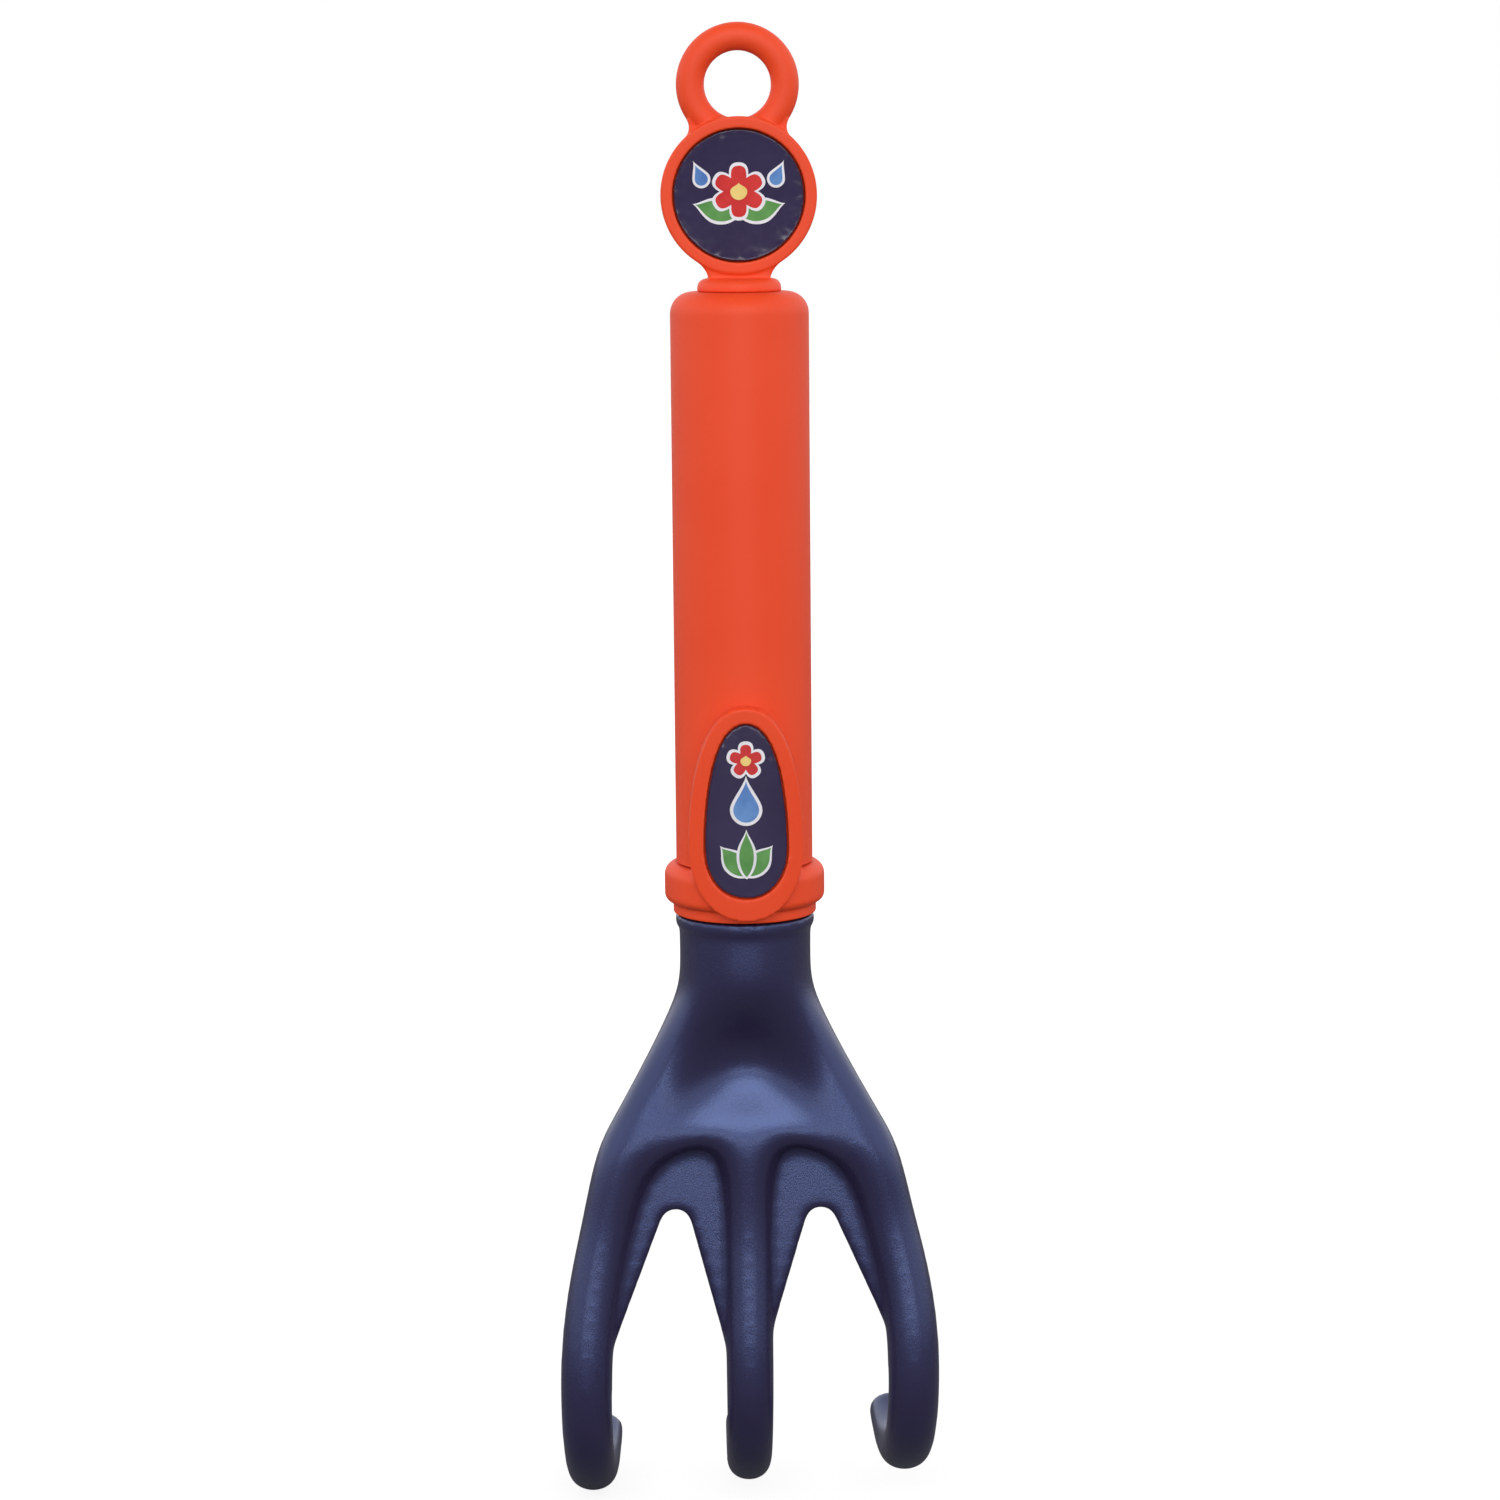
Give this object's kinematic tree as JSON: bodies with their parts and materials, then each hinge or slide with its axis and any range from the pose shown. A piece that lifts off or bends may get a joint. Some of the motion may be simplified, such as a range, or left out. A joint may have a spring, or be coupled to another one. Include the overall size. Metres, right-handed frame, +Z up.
{
  "type": "kids hand cultivator",
  "caption": "Child-size hand cultivator: moulded handle with hanging ring, round badge bezel and stepped collar, snapped onto a claw head with hooked, webbed tines.",
  "frame": {"origin": "under the middle of the tool's box, on the level of the lowest points of the tines", "axes": "+Z up the handle towards the hanging ring, -Y towards the badges (front), +X to the right seen from the back"},
  "size_m": [0.07, 0.0434, 0.2729],
  "materials": {
    "orange_plastic": "smooth matte moulding",
    "navy_plastic": "satin with a fine spark-eroded grain",
    "badge_film": "glossy printed film"
  },
  "bodies": {
    "root": {"grip_front_shell": "orange_plastic", "grip_rear_shell": "orange_plastic", "ferrule": "orange_plastic", "hanger": "orange_plastic", "teardrop_badge": "badge_film", "round_badge": "badge_film", "tine_head": "navy_plastic"}
  },
  "joints": []
}
